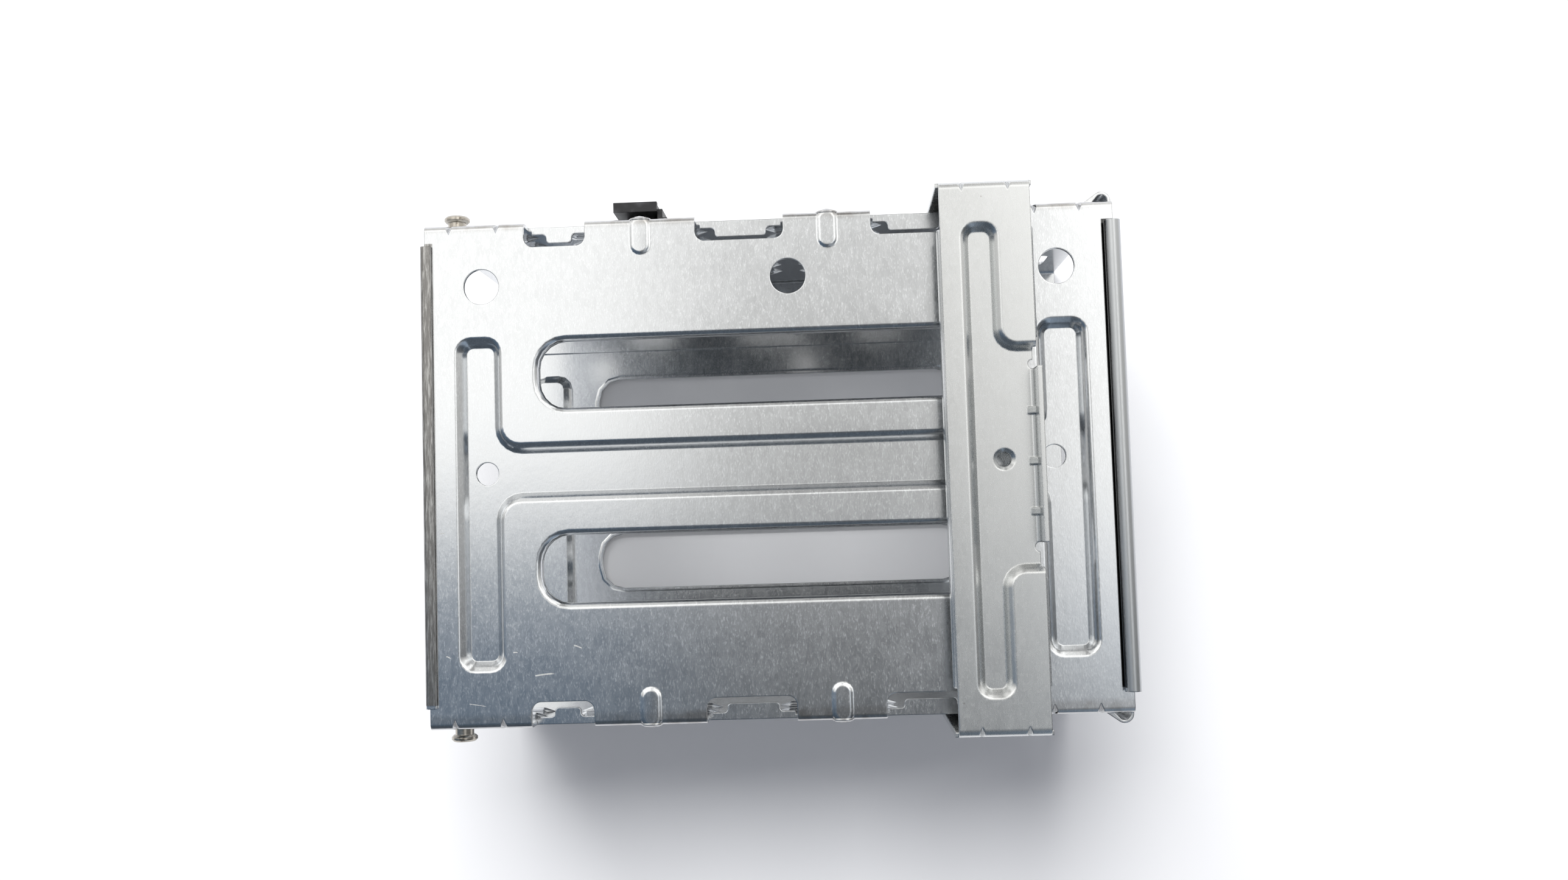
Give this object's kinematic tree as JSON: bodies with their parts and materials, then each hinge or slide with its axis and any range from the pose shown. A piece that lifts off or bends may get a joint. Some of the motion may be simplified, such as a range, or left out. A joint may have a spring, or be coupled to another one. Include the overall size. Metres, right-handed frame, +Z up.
{
  "type": "hard drive tray",
  "caption": "Folded steel drive cage, open at both ends, with slotted and pressed plates, a cross bracket over the top, guide studs and a plastic latch on one side.",
  "frame": {"origin": "under the middle of the whole outline, on the outer face of the bottom plate", "axes": "+X along the drives towards the end with the open hem, +Y across the drives towards the wall with the latch, +Z up through the cross bracket"},
  "size_m": [0.1444, 0.1114, 0.0892],
  "materials": {
    "cage": "galvanised, fine spangle",
    "bracket": "galvanised, smooth",
    "studs": "turned and plated",
    "rivets": "plain",
    "latch": "black moulding, fine grain"
  },
  "bodies": {
    "root": {"cage_shell": "cage", "cross_bracket": "bracket", "stud_far": "studs", "stud_near": "studs", "rivet_far_left": "rivets", "rivet_far_right": "rivets", "rivet_near_left": "rivets", "rivet_near_right": "rivets", "drive_latch": "latch"}
  },
  "joints": []
}
